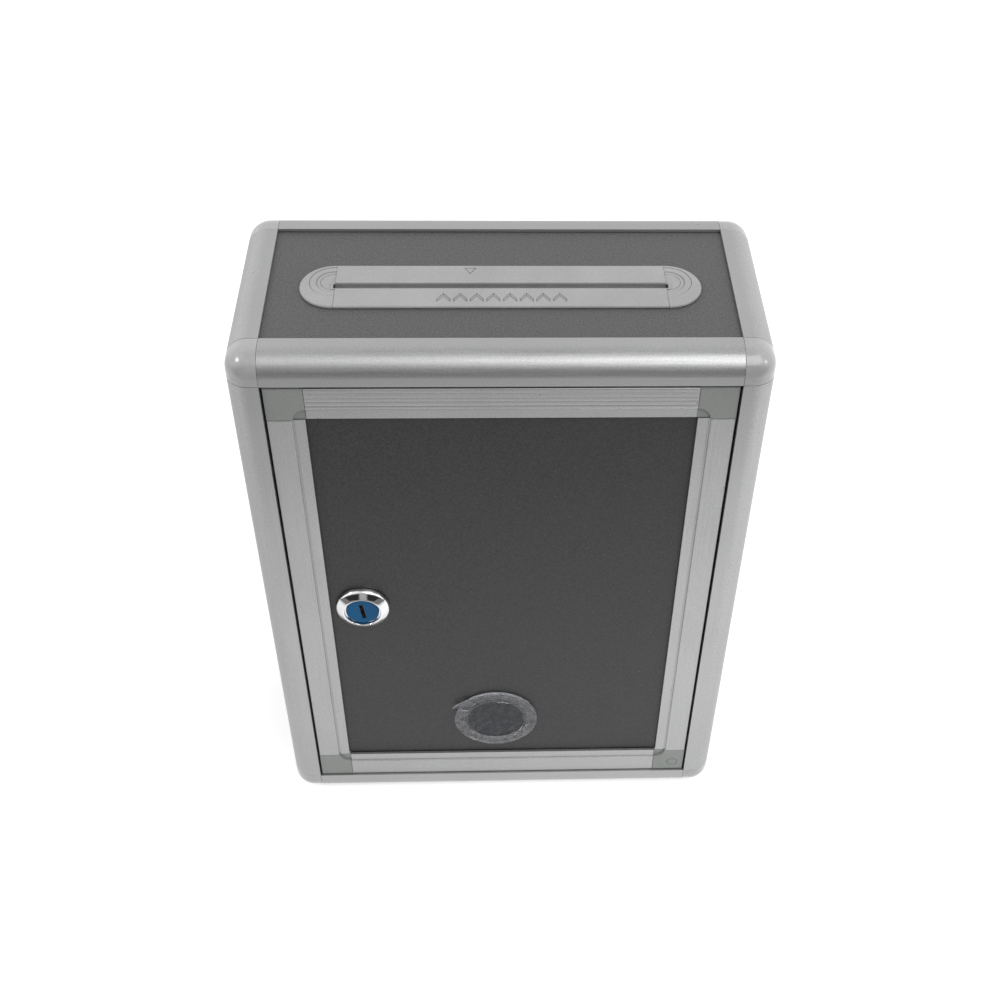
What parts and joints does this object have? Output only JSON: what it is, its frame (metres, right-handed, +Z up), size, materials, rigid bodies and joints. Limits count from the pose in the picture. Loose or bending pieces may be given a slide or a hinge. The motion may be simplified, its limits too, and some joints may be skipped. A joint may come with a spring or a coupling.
{
  "type": "lockable donation box",
  "caption": "Small upright donation box with rounded aluminium rails, dark panels, a top slot and a hinged front door with a cam lock and a round window.",
  "frame": {"origin": "on the surface the box stands on, under the middle of the case", "axes": "+Z up, +X to the right of someone facing the door, so the door faces -Y and the back faces +Y"},
  "size_m": [0.2, 0.0959, 0.265],
  "materials": {
    "anodised_rail": "satin silver anodised, fine lengthwise extrusion lines",
    "corner_plastic": "silver-grey moulded plastic, semi-gloss",
    "panel_board": "charcoal laminated board with a fine speckled matt face",
    "trim_plastic": "pale grey moulded plastic, satin",
    "connector_plastic": "mid grey moulded plastic, faintly greenish, satin",
    "nylon": "natural white nylon",
    "zinc_steel": "bright zinc plated steel",
    "clear_plastic": "clear moulded plastic, glossy",
    "lock_chrome": "polished chrome plated zinc",
    "lock_brass": "plain machined brass",
    "blue_plastic": "blue moulded plastic"
  },
  "bodies": {
    "case": {"rail_front_bottom": "anodised_rail", "rail_front_top": "anodised_rail", "rail_rear_bottom": "anodised_rail", "rail_rear_top": "anodised_rail", "rail_left_bottom": "anodised_rail", "rail_left_top": "anodised_rail", "rail_right_bottom": "anodised_rail", "rail_right_top": "anodised_rail", "post_front_left": "anodised_rail", "post_front_right": "anodised_rail", "post_rear_left": "anodised_rail", "post_rear_right": "anodised_rail", "corner_front_left_bottom": "corner_plastic", "corner_front_left_top": "corner_plastic", "corner_front_right_bottom": "corner_plastic", "corner_front_right_top": "corner_plastic", "corner_rear_left_bottom": "corner_plastic", "corner_rear_left_top": "corner_plastic", "corner_rear_right_bottom": "corner_plastic", "corner_rear_right_top": "corner_plastic", "top_panel": "panel_board", "bottom_panel": "panel_board", "left_panel": "panel_board", "right_panel": "panel_board", "back_panel": "panel_board", "slot_bar_front": "trim_plastic", "slot_bar_rear": "trim_plastic", "slot_end_left": "trim_plastic", "slot_end_right": "trim_plastic", "hinge_bush_top": "nylon", "hinge_bush_bottom": "nylon", "lock_keeper": "zinc_steel", "keeper_screw_upper": "zinc_steel", "keeper_screw_lower": "zinc_steel"},
    "door": {"door_rail_top": "anodised_rail", "door_rail_bottom": "anodised_rail", "door_stile_left": "anodised_rail", "door_stile_right": "anodised_rail", "door_corner_left_bottom": "connector_plastic", "door_corner_left_top": "connector_plastic", "door_corner_right_bottom": "connector_plastic", "door_corner_right_top": "connector_plastic", "door_panel": "panel_board", "hinge_pin_top": "zinc_steel", "hinge_pin_bottom": "zinc_steel", "window_lens": "clear_plastic", "window_ring": "clear_plastic", "lock_housing": "lock_chrome", "lock_washer": "zinc_steel", "lock_nut": "zinc_steel"},
    "lock_core": {"lock_plug": "lock_brass", "lock_cap": "blue_plastic", "lock_cam": "zinc_steel", "lock_cam_screw": "zinc_steel"}
  },
  "joints": [
    {"name": "door_hinge", "type": "hinge", "parent": "case", "child": "door", "pos_m": [0.0808, -0.044, 0.1325], "axis": [0, 0, 1], "range_deg": [0, 110]},
    {"name": "lock_turn", "type": "hinge", "parent": "door", "child": "lock_core", "pos_m": [-0.059, -0.0444, 0.1311], "axis": [0, 1, 0], "range_deg": [0, 90]}
  ]
}
